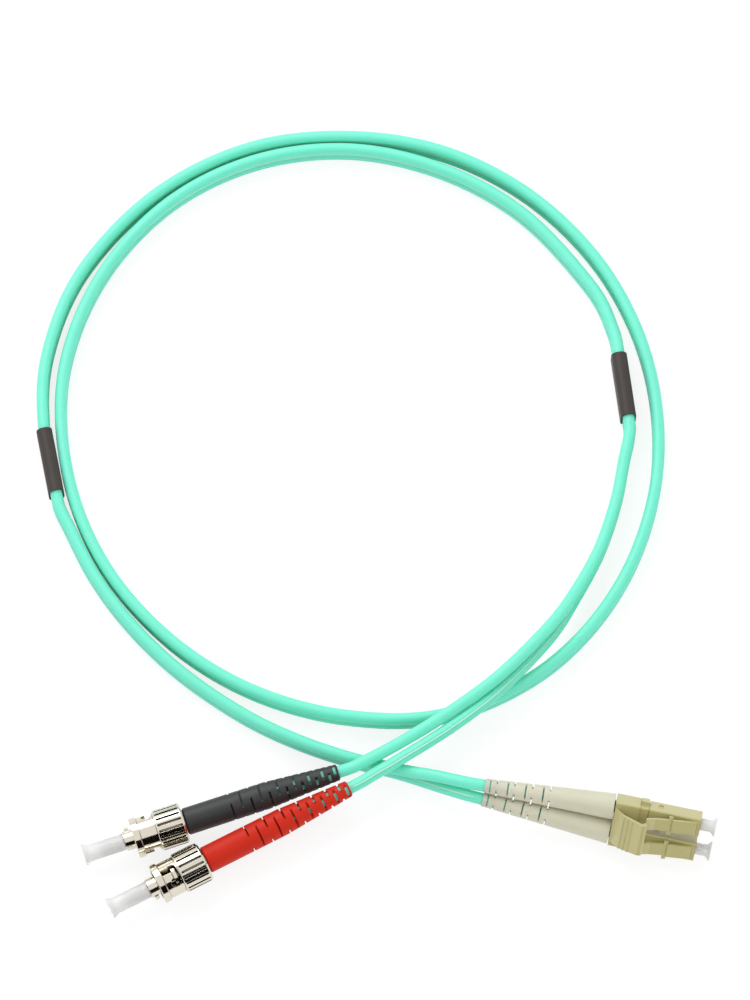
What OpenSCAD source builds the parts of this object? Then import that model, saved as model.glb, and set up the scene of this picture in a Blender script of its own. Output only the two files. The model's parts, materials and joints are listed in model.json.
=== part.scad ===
// Duplex fibre patch cord, ST to LC, coiled in two turns.
// Plugs are drawn in their own frame: +Z points out of the plug's front, and what lies behind
// the named reference face is negative. place_st() and place_lc() lay them on the surface z = 0.

/* [ST plug] */
// Ceramic ferrule diameter
st_ferrule_d = 2.5; // [2.4:0.01:2.6]
// Ferrule length in front of the barrel
st_ferrule_out = 5; // [4:0.5:6]
// Ferrule length held inside the barrel
st_ferrule_in = 8.2; // [6:0.2:9]
// Barrel diameter
st_barrel_d = 4.5; // [4.2:0.1:4.8]
// Barrel length in front of the nut
st_barrel_out = 2.2; // [1.6:0.2:3]
// Length of the key on the barrel
st_key_l = 0.9; // [0.6:0.1:1.2]
// Width of the key
st_key_w = 1; // [0.6:0.1:1.2]
// Height of the key above the barrel
st_key_h = 0.7; // [0.4:0.1:0.8]
// Distance from the key to the barrel's front face
st_key_setback = 0.6; // [0.4:0.1:0.9]
// Diameter of the body's spring shoulder
st_shoulder_d = 6.5; // [6:0.1:6.6]
// Thickness of the spring shoulder
st_shoulder_l = 0.8; // [0.6:0.1:1.2]
// Diameter of the body's rear tube, which the nut turns on
st_tube_d = 3.8; // [3.5:0.1:4]
// Diameter of the tube that the crimp ring is pressed on
st_spigot_d = 3.2; // [3:0.1:3.4]
// Length of that tube
st_spigot_l = 6.4; // [5:0.2:8]
// Crimp ring outside diameter
st_ring_d = 4.2; // [3.9:0.1:4.3]
// Crimp ring length
st_ring_l = 7; // [5:0.5:8]
// Washer diameter
st_washer_d = 5.6; // [5:0.1:5.8]
// Washer thickness
st_washer_t = 0.4; // [0.3:0.05:0.5]
// Retaining clip diameter
st_clip_d = 5.2; // [4.8:0.1:5.6]
// Retaining clip thickness
st_clip_t = 0.5; // [0.4:0.05:0.55]
// Depth of the retaining clip's groove
st_groove_depth = 0.35; // [0.2:0.05:0.4]
// Turn of the black plug's key about its axis
st_key_turn_black = 250; // [0:5:360]
// Turn of the red plug's key about its axis
st_key_turn_red = 70; // [0:5:360]

/* [ST nut] */
// Length of the bayonet nut
st_nut_l = 12; // [11:0.5:13]
// Diameter of the nut between flange and knurl
st_nut_d = 8.5; // [8.2:0.1:8.8]
// Diameter of the front flange
st_flange_d = 9.3; // [9:0.1:9.6]
// Length of the front flange
st_flange_l = 1.6; // [1.2:0.1:2]
// Chamfer of the flange's rims and of the knurl's front edge
st_rim_chamfer = 0.15; // [0.1:0.05:0.3]
// Diameter over the knurl
st_knurl_d = 9.4; // [9:0.1:9.8]
// Length of the knurl
st_knurl_l = 6.5; // [5.5:0.1:7]
// Chamfer at the rear end of the knurl
st_knurl_chamfer = 0.4; // [0.2:0.1:0.6]
// Number of flutes
st_flutes = 20; // [12:1:24]
// Width of a flute
st_flute_w = 0.55; // [0.4:0.05:0.8]
// Depth of a flute
st_flute_depth = 0.5; // [0.3:0.05:0.6]
// Plain knurl in front of the flutes
st_flute_front = 0.35; // [0.3:0.05:1]
// Plain knurl behind the flutes
st_flute_rear = 0.5; // [0.5:0.1:1.4]
// Bore of the nut
st_bore_d = 6.9; // [6.7:0.1:7.2]
// Thickness of the nut's rear lip, which the spring bears on
st_lip_l = 1.2; // [0.8:0.1:1.6]
// Depth of the recess in the nut's rear face
st_recess_l = 1.3; // [1.2:0.1:1.6]
// Diameter of that recess
st_recess_d = 6.2; // [6:0.1:6.4]
// Width of a bayonet slot
st_slot_w = 1.7; // [1.5:0.1:1.9]
// Distance that a bayonet slot lies behind the middle of its seat
st_slot_drop = 0.65; // [0.5:0.05:0.65]
// Axial rise of a bayonet slot from its seat to its entry
st_slot_rise = 0.2; // [0.1:0.1:0.6]
// Turn of a bayonet slot from its seat to its entry
st_slot_turn = 46; // [40:2:60]
// Diameter of the round seat at the end of a bayonet slot
st_seat_d = 2.3; // [2:0.1:2.4]
// Distance from the knurl to the middle of the seat
st_seat_front = 1.55; // [1.5:0.05:1.7]
// Depth of the groove that leads each slot to the nut's front face
st_entry_depth = 0.5; // [0.3:0.05:0.6]
// Turn of the black plug's nut about its axis
st_nut_turn_black = 50; // [0:1:360]
// Turn of the red plug's nut about its axis
st_nut_turn_red = 144; // [0:1:360]
// Room for the coupling spring behind the shoulder
st_spring_l = 4.7; // [4:0.1:5]
// Mean diameter of the coupling spring
st_spring_d = 5.2; // [5:0.1:5.4]
// Wire diameter of the coupling spring
st_spring_wire = 0.45; // [0.3:0.05:0.5]
// Turns of the coupling spring
st_spring_turns = 4; // [3:0.5:4]

/* [ST boot] */
// Visible length of the boot
st_boot_l = 36.5; // [36:0.5:40]
// Diameter at the front
st_boot_front_d = 6.25; // [6.1:0.05:6.4]
// Diameter where the boot starts to narrow more
st_boot_mid_d = 6.2; // [6:0.05:6.3]
// Distance of that place from the front
st_boot_mid_l = 19.5; // [16:0.5:21]
// Diameter at the tail
st_boot_tail_d = 3.8; // [3.6:0.1:3.9]
// Plain length at the front
st_boot_plain_l = 11.1; // [10:0.1:11.2]
// Spacing of the first two slots
st_boot_step = 2.4; // [2.3:0.05:2.4]
// How much each spacing is shorter than the one before
st_boot_step_less = 0.085; // [0.085:0.005:0.12]
// Number of slot stations
st_boot_stations = 14; // [9:1:14]
// Width of the first slot
st_boot_slot_w = 0.4; // [0.4:0.05:0.8]
// Width of the last slot
st_boot_last_slot_w = 0.65; // [0.4:0.05:0.7]
// Angle that a slot of a boot spans about the axis
boot_slot_span = 123; // [116:1:126]
// Turn of the black boot's slots about the axis
st_boot_turn_black = 114; // [0:1:180]
// Turn of the red boot's slots about the axis
st_boot_turn_red = 50; // [0:1:180]

/* [ST dust cap] */
// Diameter of the cap's tube
st_cap_d = 3.8; // [3.6:0.1:4]
// Diameter at the cap's flared tip
st_cap_tip_d = 4.9; // [4.4:0.1:5.2]
// Length of the cap
st_cap_l = 9.6; // [8.5:0.1:10.5]
// Length of the flare
st_cap_flare_l = 1.7; // [1:0.1:2]
// Thickness of the flare's rim
st_cap_rim = 0.4; // [0.2:0.1:0.6]
// Air between the ferrule's tip and the end of the cap's bore
st_cap_air = 0.8; // [0.5:0.1:1.5]

/* [LC plug] */
// Distance between the two plugs of the pair
lc_pitch = 6.25; // [6.2:0.05:6.4]
// Ceramic ferrule diameter
lc_ferrule_d = 1.25; // [1.24:0.01:1.3]
// Ferrule length in front of the housing
lc_ferrule_out = 1.8; // [1.5:0.1:2.5]
// Width of the housing
lc_body_w = 4.5; // [4.4:0.05:4.6]
// Corner radius of the housing
lc_corner_r = 0.4; // [0.2:0.05:0.5]
// Length of the housing
lc_front_l = 12; // [11.5:0.1:12.5]
// Diameter of the opening in the housing's nose
lc_nose_d = 3.2; // [3.1:0.05:3.4]
// Depth of that opening
lc_nose_depth = 4.1; // [3.5:0.1:4.5]
// Thickness of the wall that the ferrule's holder stops on
lc_stop_t = 1.1; // [0.8:0.1:1.4]
// Ferrule holder diameter
lc_holder_d = 2.4; // [2.2:0.05:2.5]
// Ferrule holder's flange length
lc_holder_l = 1.8; // [1.4:0.1:2]
// Diameter of the holder's stem inside the spring
lc_stem_d = 1.4; // [1.3:0.05:1.45]
// Length of the stem
lc_stem_l = 2; // [1.6:0.1:2.4]
// Ferrule length inside its holder
lc_ferrule_in = 1.2; // [1:0.1:1.5]
// Travel of the ferrule against its spring
lc_float = 1; // [0.6:0.1:1.1]
// Width of the rear body
lc_rear_w = 3.4; // [3.3:0.05:3.5]
// Length of the rear body inside the housing
lc_rear_in = 3.7; // [3.4:0.1:4]
// Diameter of the spring's pocket in the rear body
lc_pocket_d = 2.4; // [2.35:0.05:2.5]
// Depth of that pocket, besides the ferrule's travel
lc_pocket_depth = 2.9; // [2.7:0.1:3.2]
// Mean diameter of the ferrule's spring
lc_spring_d = 1.9; // [1.85:0.05:2]
// Wire diameter of the ferrule's spring
lc_spring_wire = 0.3; // [0.2:0.05:0.35]
// Turns of the ferrule's spring
lc_spring_turns = 6; // [5:0.5:7]
// Diameter of the rear body's spigot
lc_spigot_d = 2.4; // [2.2:0.1:2.6]
// Length of the spigot
lc_spigot_l = 5.8; // [5:0.2:6.4]
// Crimp tube outside diameter
lc_crimp_d = 3; // [2.8:0.1:3.1]
// Distance from the housing's front face to the rear body's catches
lc_catch_setback = 9; // [8.8:0.1:9.4]
// Length of a catch
lc_catch_l = 0.9; // [0.7:0.1:1]
// Width of a catch
lc_catch_w = 1.6; // [1.2:0.1:2]
// Height of a catch
lc_catch_h = 0.35; // [0.2:0.05:0.4]

/* [LC latch and clip] */
// Length of the duplex clip's block along the plugs
lc_clip_l = 5.5; // [5.3:0.1:5.7]
// Width of the block over both plugs
lc_clip_w = 11.2; // [11:0.05:11.4]
// How far the block stands over the collars on the latches' side
lc_clip_rise = 0.4; // [0.3:0.05:0.5]
// Length of the clip's collars in front of its block
lc_band_l = 2.1; // [1.8:0.1:2.4]
// Width across a collar
lc_band_w = 4.6; // [4.6:0.05:4.8]
// Length of the lug on the outer side of each collar
lc_lug_l = 1.8; // [1.4:0.1:2]
// Height of the lug
lc_lug_h = 0.9; // [0.6:0.05:1]
// Distance from the housing's front face to the latch's root
lc_latch_setback = 0.9; // [0.8:0.1:1.2]
// Radius of the bend at the latch's root
lc_bend_r = 0.4; // [0.3:0.05:0.45]
// Length of the latch's front plate
lc_plate_l = 5.2; // [5:0.1:5.4]
// Width of the latch's front plate
lc_plate_w = 3.1; // [2.8:0.1:3.3]
// Slope of the front plate in degrees
lc_plate_slope = 12; // [11:0.5:12.5]
// Thickness of the latch
lc_latch_t = 0.7; // [0.6:0.05:0.8]
// Length of the latch's shoulders
lc_shoulder_l = 0.9; // [0.8:0.1:1.3]
// Width over the shoulders
lc_shoulder_w = 4.5; // [4.2:0.1:4.6]
// Width of the latch's tail
lc_tail_w = 2.8; // [2.4:0.1:3]
// Slope of the tail in degrees
lc_tail_slope = 14; // [13:0.5:14.5]
// Length of the tail along the plug, between the shoulders and its turned-up end
lc_tail_l = 3; // [2.8:0.1:3.1]
// Length of that end along the plug
lc_flick_l = 2; // [1.9:0.1:2.1]
// Rise of that end
lc_flick_rise = 1; // [0.9:0.05:1.05]
// Drop from the front plate to the tail's root
lc_tail_drop = 0.35; // [0.2:0.05:0.4]
// Width of the trigger at its front
trigger_front_w = 7.4; // [7.2:0.1:8]
// Width of the trigger at its rear
trigger_rear_w = 8.5; // [8.2:0.1:8.8]
// Length of the trigger along the plug
trigger_l = 7.3; // [7.2:0.1:7.4]
// Rise of the trigger's top over its root
trigger_rise = 4.8; // [4.7:0.1:5]
// Thickness of the trigger
trigger_t = 0.9; // [0.7:0.05:1]
// Height of the trigger's front face
trigger_nose_h = 1.4; // [1.2:0.1:1.4]
// Height of the trigger's cross ridges
trigger_ridge_h = 0.2; // [0.1:0.05:0.3]
// Spacing of the ridges
trigger_ridge_step = 1; // [0.8:0.05:1.1]
// Distance from the trigger's root to its first ridge
trigger_ridge_start = 1.9; // [1.6:0.1:2.2]

/* [LC boot] */
// Length of the boot
lc_boot_l = 29.7; // [28:0.1:31]
// Diameter at the front
lc_boot_front_d = 6; // [5.6:0.1:6]
// Chamfer at the front
lc_boot_chamfer = 0.15; // [0.1:0.05:0.4]
// Diameter at the tail
lc_boot_tail_d = 3.3; // [3.3:0.05:3.45]
// Distance between the boots' tails
lc_tail_pitch = 3.45; // [3.45:0.05:4]
// Spacing of the slot stations
lc_boot_step = 4.04; // [3.8:0.02:4.2]
// Distance from the tail to the first slot
lc_boot_first = 1.2; // [1.1:0.1:1.6]
// Distance from a slot to the next pair, turned by a quarter
lc_boot_offset = 1.5; // [1.3:0.1:1.8]
// Slot stations of each kind
lc_boot_stations = 4; // [2:1:4]
// Slot width
lc_boot_slot_w = 0.35; // [0.3:0.05:0.8]
// Turn of the first pair of slots about the axis
lc_boot_turn = 62; // [0:1:180]

/* [LC dust cap] */
// Diameter of the cap's tube
lc_cap_d = 2.7; // [2.6:0.05:3]
// Diameter at the cap's flared tip
lc_cap_tip_d = 4.4; // [4:0.1:4.6]
// Length of the cap in front of the housing
lc_cap_out = 3.5; // [3.2:0.1:4]
// Length of the flare
lc_cap_flare_l = 1.3; // [1:0.1:2]
// Thickness of the flare's rim
lc_cap_rim = 0.2; // [0.1:0.1:0.4]
// Air between the ferrule's tip and the end of the cap's bore
lc_cap_air = 0.3; // [0.2:0.1:0.5]

/* [Cord] */
// Diameter of one strand
cord_d = 2.8; // [2.6:0.1:3]
// Diameter of the buffered fibre
fibre_d = 0.9; // [0.85:0.05:1]
// Length of a breakout sleeve
sleeve_l = 16; // [14:0.5:18]
// Wall of a breakout sleeve
sleeve_wall = 0.3; // [0.2:0.05:0.4]

/* [Fits] */
// Play all round where a piece slides or turns on another
slide_play = 0.03; // [0.02:0.01:0.05]
// Play all round where pieces are assembled and stay put
seat_play = 0.04; // [0.02:0.01:0.06]
// Play all round between a strand and what it runs through
cord_play = 0.06; // [0.05:0.01:0.1]
// Air between end faces that must not rub
end_play = 0.1; // [0.05:0.01:0.2]
// Play all round a ferrule in the bore that it is pressed into
press_play = 0.005; // [0.002:0.001:0.01]

/* [Layout] */
// Centre of the coil from the part's origin, across
coil_x = -10.9; // [-20:0.1:20]
// Centre of the coil from the part's origin, in depth
coil_y = 102.4; // [80:0.1:120]
// Heading of the black ST plug
st_black_heading = 198; // [190:1:204]
// Heading of the red ST plug
st_red_heading = 207; // [204:1:215]
// Tilt of the ST plugs, nose down
st_droop = 3; // [2:0.5:4]
// Heading of the LC pair
lc_heading = -11.5; // [-20:0.5:0]
// Tilt of the LC pair, nose down
lc_droop = 2; // [1:0.5:3]
// Lean of the LC pair about its own axis
lc_lean = 46; // [40:1:50]

/* [Hidden] */
$fn = 48;
// A cut runs this far past the face it opens, and a joined piece this far into its neighbour
past = 0.5;
// Sides of a strand's outline
strand_sides = 8;
half_side = 180 / strand_sides;
// Depth of a ferrule's tip cone for each millimetre of its length
tip_slope = 0.7;
st_tip_l = 0.5;
lc_tip_l = 0.3;
// Chamfers of the boots: ST front, ST tail and LC tail
st_boot_chamfer = 0.4;
st_tail_chamfer = 0.25;
lc_tail_chamfer = 0.15;

// Colours
aqua = [0.47, 0.92, 0.80];
soot = [0.14, 0.15, 0.15];
signal_red = [0.84, 0.19, 0.12];
nickel = [0.78, 0.76, 0.71];
milk = [0.95, 0.95, 0.93];
beige = [0.80, 0.77, 0.63];
ivory = [0.88, 0.86, 0.80];
umber = [0.31, 0.28, 0.27];
ceramic = [0.97, 0.97, 0.95];
steel = [0.66, 0.67, 0.68];

// ST plug, from the nut's front face at z = 0
st_lip_front = -(st_nut_l - st_recess_l - st_lip_l);
st_shoulder_rear = st_lip_front + st_spring_l;
st_shoulder_front = st_shoulder_rear + st_shoulder_l;
st_washer_front = st_lip_front - st_lip_l - slide_play;
st_clip_front = st_washer_front - st_washer_t - slide_play;
st_tube_rear = -(st_nut_l + 3 * end_play);
st_spigot_rear = st_tube_rear - st_spigot_l;
st_ring_front = st_tube_rear - end_play;
st_ferrule_rear = st_barrel_out - st_ferrule_in;
st_ferrule_front = st_barrel_out + st_ferrule_out;
st_cap_rear = st_barrel_out + end_play;
st_boot_front = -(st_nut_l + end_play);
st_boot_rear = st_boot_front - st_boot_l;
st_fibre_in = 1.5;
fibre_bore_d = fibre_d + 2 * cord_play;
strand_bore_d = cord_d + 2 * cord_play;

// LC plug, from the clip's rear face at z = 0
lc_band_front = lc_clip_l + lc_band_l;
lc_face = lc_band_front + lc_front_l;
lc_stop_front = lc_face - lc_nose_depth;
lc_stop_rear = lc_stop_front - lc_stop_t;
lc_holder_front = lc_stop_rear - slide_play;
lc_holder_rear = lc_holder_front - lc_holder_l;
lc_rear_front = lc_band_front + lc_rear_in;
lc_pocket_floor = lc_rear_front - lc_pocket_depth - lc_float;
lc_chamber_d = lc_holder_d + 4 * slide_play;
lc_ferrule_rear = lc_holder_front - lc_ferrule_in;
lc_ferrule_front = lc_face + lc_ferrule_out;
lc_cap_rear = lc_stop_front + end_play;
lc_bore_end = 0.2;
lc_fibre_front = lc_holder_rear - lc_stem_l + end_play;
lc_spigot_rear = -lc_spigot_l;
lc_boot_toe = atan((lc_pitch - lc_tail_pitch) / 2 / lc_boot_l);
lc_leg_start = -lc_spigot_rear + end_play;
lc_bend_z = lc_face - lc_latch_setback - lc_bend_r;
lc_bend_y = lc_body_w / 2 + lc_bend_r + slide_play;
lc_step_setback = 0.2;
trigger_bend_z = lc_bend_r + end_play / 2;
trigger_bend_y = lc_band_w / 2 + lc_bend_r + slide_play;

// Heights that lay each plug on the surface
st_height = st_flange_d / 2 * cos(st_droop);
lc_corner_drop = (lc_pitch / 2 + lc_body_w / 2 - lc_corner_r) * sin(lc_lean)
    + (lc_body_w / 2 - lc_corner_r) * cos(lc_lean) + lc_corner_r;
lc_height = lc_corner_drop + lc_face * sin(lc_droop);

// Where the plugs lie, from the centre of the coil
st_black_at = [-49, -101.5, st_height];
st_red_at = [-43.6, -112.4, st_height];
lc_at = [59.3, -97.2, lc_height];

// Cord route, from the centre of the coil, as the middle of the two strands
zip_mid = cord_d;
sleeve_bore_r = cord_d / 2 / cos(half_side) + cord_play / 2;
sleeve_mid = cord_d / 2 + sleeve_bore_r + sleeve_wall;
sleeve_st_at = [63.8, 10];
sleeve_st_heading = 97;
sleeve_lc_at = [-70.2, -9.2];
sleeve_lc_heading = -78.5;
zip_points = [
    [61.5, 25], [56.5, 36], [41, 54.5], [21.5, 66.5], [-1, 71.8], [-24, 68.5], [-44.5, 56.8],
    [-60, 37.2], [-67.7, 13], [-66, -12.4], [-57, -35], [-41.8, -53.1], [-22.7, -65.6],
    [-0.7, -71.9], [22.5, -71.2], [45.5, -59.6], [62.3, -39.4], [71, -13.7], [70.2, 13.6],
    [60.8, 38.4], [44.2, 58.1], [22.8, 70.8], [-1, 75.1], [-25, 71.9], [-47.1, 59.5],
    [-64, 39.5], [-71.6, 18]
];
black_points = [
    [63.6, -8.5, 4.4], [61.5, -19, 4.4], [57.5, -31, 4.8], [52, -41.8, 6.3], [45.5, -51.6, 8.3],
    [34, -63.9, 9.5], [22.5, -72.4, 8.2], [11.2, -79.5, 7.5], [2.3, -84.4, 7.3]
];
red_points = [
    [63.6, -8.5, 1.5], [61.5, -19, 1.4], [57.5, -31, 1.6], [52, -42.2, 3], [45.7, -53.2, 5.3],
    [34, -66.7, 7.4], [23, -75.6, 7.3], [11.2, -83.4, 7.3], [5.4, -87, 7.3]
];
far_points = [
    [-65.4, -25.5, 4.4], [-59.7, -36.9, 4.3], [-52.6, -47.2, 4.3], [-44.3, -56.4, 4.3],
    [-35, -64.4, 4.3], [-23.1, -72.4, 4.3], [-11.6, -78, 4.3], [0, -82.1, 4.3],
    [11.2, -85, 4.5], [19.5, -87.3, 6.8]
];
near_points = [
    [-65.4, -25.5, 1.5], [-59.7, -36.9, 1.4], [-52.6, -47.2, 1.4], [-44.3, -56.4, 1.4],
    [-35, -64.4, 1.4], [-23.1, -72.4, 1.4], [-11.6, -78, 1.4], [0, -82.1, 1.4],
    [11.2, -85, 1.4], [19.5, -88.6, 3.8]
];
rings_a_step = 2;
st_slot_rings = 10;

// ---- Curves and sweeps ----

function unit(v) = v / norm(v);
function plug_forward(heading, droop) =
    [cos(heading) * cos(droop), sin(heading) * cos(droop), -sin(droop)];

// A curve through four neighbouring points, at t from 0 to 1 between the middle two
function curve_at(a, b, c, d, t) =
    0.5 * (2 * b + (c - a) * t + (2 * a - 5 * b + 4 * c - d) * t * t
        + (3 * b - a - 3 * c + d) * t * t * t);

// Ring centres along a route, no lower than the given height, first and last stretches straight
function route(points, low) = let(
    last = len(points) - 1,
    before = straight_on(points[0], points[1], -norm(points[2] - points[1])),
    after = straight_on(points[last], points[last - 1], -norm(points[last - 2] - points[last - 1])),
    eased = [before, for (i = [1:last - 1]) points[i], after]
) concat(
    [points[0]],
    [for (i = [1:last - 2]) for (k = [0:rings_a_step - 1])
        let(p = curve_at(eased[i - 1], eased[i], eased[i + 1], eased[i + 2], k / rings_a_step))
        lift(p, max(p[2], low))],
    [points[last - 1], points[last]]
);
function straight_on(from, to, step) = to + step * unit(to - from);

function heading_at(path, i) = let(last = len(path) - 1)
    unit(i == 0 ? path[1] - path[0] : i == last ? path[last] - path[last - 1] : path[i + 1] - path[i - 1]);

function ring_at(path, i, outline) = let(
    ahead = heading_at(path, i),
    side = unit(cross([0, 0, 1], ahead)),
    up = cross(ahead, side)
) [for (q = outline) path[i] + q[0] * side + q[1] * up];

// Closed tube along the ring centres; every outline point is in sight of the first one
module sweep(path, outline) {
    n = len(outline);
    last = len(path) - 1;
    points = [for (i = [0:last]) each ring_at(path, i, outline)];
    sides = [for (i = [0:last - 1]) for (k = [0:n - 1]) let(
        a = i * n + k, b = i * n + (k + 1) % n, c = a + n, d = b + n
    ) each [[a, c, b], [b, c, d]]];
    start = [for (k = [1:n - 2]) [0, k, k + 1]];
    end = [for (k = [1:n - 2]) [last * n, last * n + k + 1, last * n + k]];
    polyhedron(points, concat(sides, start, end), convexity = 6);
}

function polygon_ring(r, n, first) = [for (k = [0:n - 1]) r * [cos(first + k * 360 / n), sin(first + k * 360 / n)]];

// One strand as an octagon inside its true circle, flat side down
strand_outline = polygon_ring(cord_d / 2, strand_sides, half_side);
// Two strands, one on the other, as octagons round their true circles that share a narrow waist
zip_outline = let(r = cord_d / 2 / cos(half_side), n = strand_sides) concat(
    [for (q = polygon_ring(r, n, half_side - 90)) q + [0, cord_d / 2]],
    [for (k = [1:n - 2]) polygon_ring(r, n, half_side + 90)[k] - [0, cord_d / 2]]
);

function helix(d, pitch_l, turns, steps) =
    [for (i = [0:turns * steps]) [d / 2 * cos(i * 360 / steps), d / 2 * sin(i * 360 / steps), pitch_l * i / steps]];

// ---- Routes in the part's frame ----

coil_at = [coil_x, coil_y, 0];
function lift(p, z) = [p[0], p[1], z];
function sleeve_point(at, heading, along, z) = lift(at + along * [cos(heading), sin(heading)], z);
sleeve_run = sleeve_l / 2 + cord_d;

zip_path = route(concat(
    [sleeve_point(sleeve_st_at, sleeve_st_heading, 0, sleeve_mid),
        sleeve_point(sleeve_st_at, sleeve_st_heading, sleeve_l / 2, sleeve_mid)],
    [for (p = zip_points) lift(p, zip_mid)],
    [sleeve_point(sleeve_lc_at, sleeve_lc_heading, -sleeve_l / 2, sleeve_mid),
        sleeve_point(sleeve_lc_at, sleeve_lc_heading, 0, sleeve_mid)]
), zip_mid);

function st_point(at, heading, z) = at + z * plug_forward(heading, st_droop);
function st_leg_path(at, heading, points, strand) = route(concat(
    [lift(sleeve_st_at, sleeve_mid + strand * cord_d / 2),
        sleeve_point(sleeve_st_at, sleeve_st_heading, -sleeve_run, sleeve_mid + strand * cord_d / 2)],
    points,
    [st_point(at, heading, st_boot_rear - cord_d), st_point(at, heading, st_spigot_rear)]
), cord_d / 2);
black_path = st_leg_path(st_black_at, st_black_heading, black_points, 1);
red_path = st_leg_path(st_red_at, st_red_heading, red_points, -1);

// Directions of the LC pair: forward, across the pair, and out of the latch's face
lc_forward = plug_forward(lc_heading, lc_droop);
lc_left = [-sin(lc_heading), cos(lc_heading), 0];
lc_up = cross(lc_forward, lc_left);
lc_across = cos(lc_lean) * lc_left + sin(lc_lean) * lc_up;
function lc_boot_point(side, along) = lc_at + side * lc_pitch / 2 * lc_across
    - end_play * lc_forward - along * (cos(lc_boot_toe) * lc_forward + side * sin(lc_boot_toe) * lc_across);
function lc_leg_path(side, points) = route(concat(
    [lift(sleeve_lc_at, sleeve_mid + side * cord_d / 2),
        sleeve_point(sleeve_lc_at, sleeve_lc_heading, sleeve_run, sleeve_mid + side * cord_d / 2)],
    points,
    [lc_boot_point(side, lc_boot_l + cord_d), lc_boot_point(side, lc_leg_start)]
), cord_d / 2);
far_path = lc_leg_path(1, far_points);
near_path = lc_leg_path(-1, near_points);

// ---- Least gaps, measured on the ring centres ----

function from_stretch(p, a, b) = let(t = max(0, min(1, (p - a) * (b - a) / ((b - a) * (b - a))))) norm(p - a - t * (b - a));
function path_gap(a, b) = min([for (p = a) for (k = [0:len(b) - 2]) from_stretch(p, b[k], b[k + 1])]) - cord_d;
function self_gap(path, apart) = min([for (i = [0:len(path) - 1]) for (k = [i + apart:1:len(path) - 2])
    from_stretch(path[i], path[k], path[k + 1])]) - cord_d;
function strand(path, side) = [for (p = path) p + [0, 0, side * cord_d / 2]];
function run_length(path) = len(path) < 2 ? 0 : [for (i = 1, s = norm(path[1] - path[0]); i < len(path);
    i = i + 1, s = s + (i < len(path) ? norm(path[i] - path[i - 1]) : 0)) s][len(path) - 2];
echo(zip_least_gap_to_itself = self_gap(zip_path, 10));
echo(legs_least_gaps = [
    path_gap(black_path, red_path), path_gap(far_path, near_path), path_gap(black_path, far_path),
    path_gap(red_path, far_path)
]);
echo(legs_to_zip = [for (leg = [black_path, red_path, far_path, near_path]) min(
    path_gap([for (i = [4:len(leg) - 1]) leg[i]], strand(zip_path, 1)),
    path_gap([for (i = [4:len(leg) - 1]) leg[i]], strand(zip_path, -1)))]);
echo(lengths = [for (path = [zip_path, black_path, red_path, far_path, near_path]) run_length(path)]);

// ---- Placement ----

module place_st(at, heading) translate(coil_at + at) rotate([0, 90 + st_droop, heading]) children();
module place_lc() translate(coil_at + lc_at) rotate([0, 90 + lc_droop, lc_heading])
    rotate([0, 0, 90 + lc_lean]) children();
module at_side(side) translate([side * lc_pitch / 2, 0, 0]) children();

// ---- Shared shapes ----

module tube(d, bore, l) difference() {
    cylinder(d = d, h = l);
    translate([0, 0, -past]) cylinder(d = bore, h = l + 2 * past);
}

// Square bar with round corners, along +Z
module bar(w, d, r, l) linear_extrude(l) {
    square([w - 2 * r, d], center = true);
    square([w, d - 2 * r], center = true);
    for (x = [-1, 1]) for (y = [-1, 1]) translate([x * (w / 2 - r), y * (d / 2 - r)]) circle(r);
}

// Slot with round ends, cut from the radius inner outwards, from z = 0 back to z = -l
module radial_slot(l, w, inner, outer) translate([inner, 0, 0]) rotate([0, 90, 0]) linear_extrude(outer - inner) {
    translate([w / 2, -w / 2]) square([l - w, w]);
    for (x = [w / 2, l - w / 2]) translate([x, 0]) circle(d = w);
}

// Two opposite slots across a boot of radius r, each spanning boot_slot_span about the axis
module slot_pair(w, r) for (side = [0, 180]) rotate([0, 0, side])
    translate([r * cos(boot_slot_span / 2), -2 * r, -w / 2]) cube([2 * r, 4 * r, w]);

// Cap from its open end at rear to its tip at front, flaring over its last part to a thin rim
module cap_outside(rear, front, neck_d, tip_d, flare_l, rim) rotate_extrude() polygon(concat(
    [[0, rear], [neck_d / 2, rear]],
    [for (u = [0:0.2:1]) [neck_d / 2 + (tip_d - neck_d) / 2 * u * u, front - rim - (flare_l - rim) * (1 - u)]],
    [[tip_d / 2, front], [0, front]]
));

module coil_spring(d, wire, l, turns) translate([0, 0, wire / 2])
    sweep(helix(d, (l - wire) / turns, turns, 12), polygon_ring(wire / 2, 6, 0));

// ---- ST plug ----

module st_ferrule() color(ceramic) difference() {
    translate([0, 0, st_ferrule_rear]) rotate_extrude() polygon([
        [0, 0], [st_ferrule_d / 2, 0], [st_ferrule_d / 2, st_ferrule_front - st_ferrule_rear - st_tip_l],
        [st_ferrule_d / 2 - st_tip_l * tip_slope, st_ferrule_front - st_ferrule_rear],
        [0, st_ferrule_front - st_ferrule_rear]
    ]);
    translate([0, 0, st_ferrule_rear - past]) cylinder(d = fibre_bore_d, h = st_fibre_in + past);
}

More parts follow.
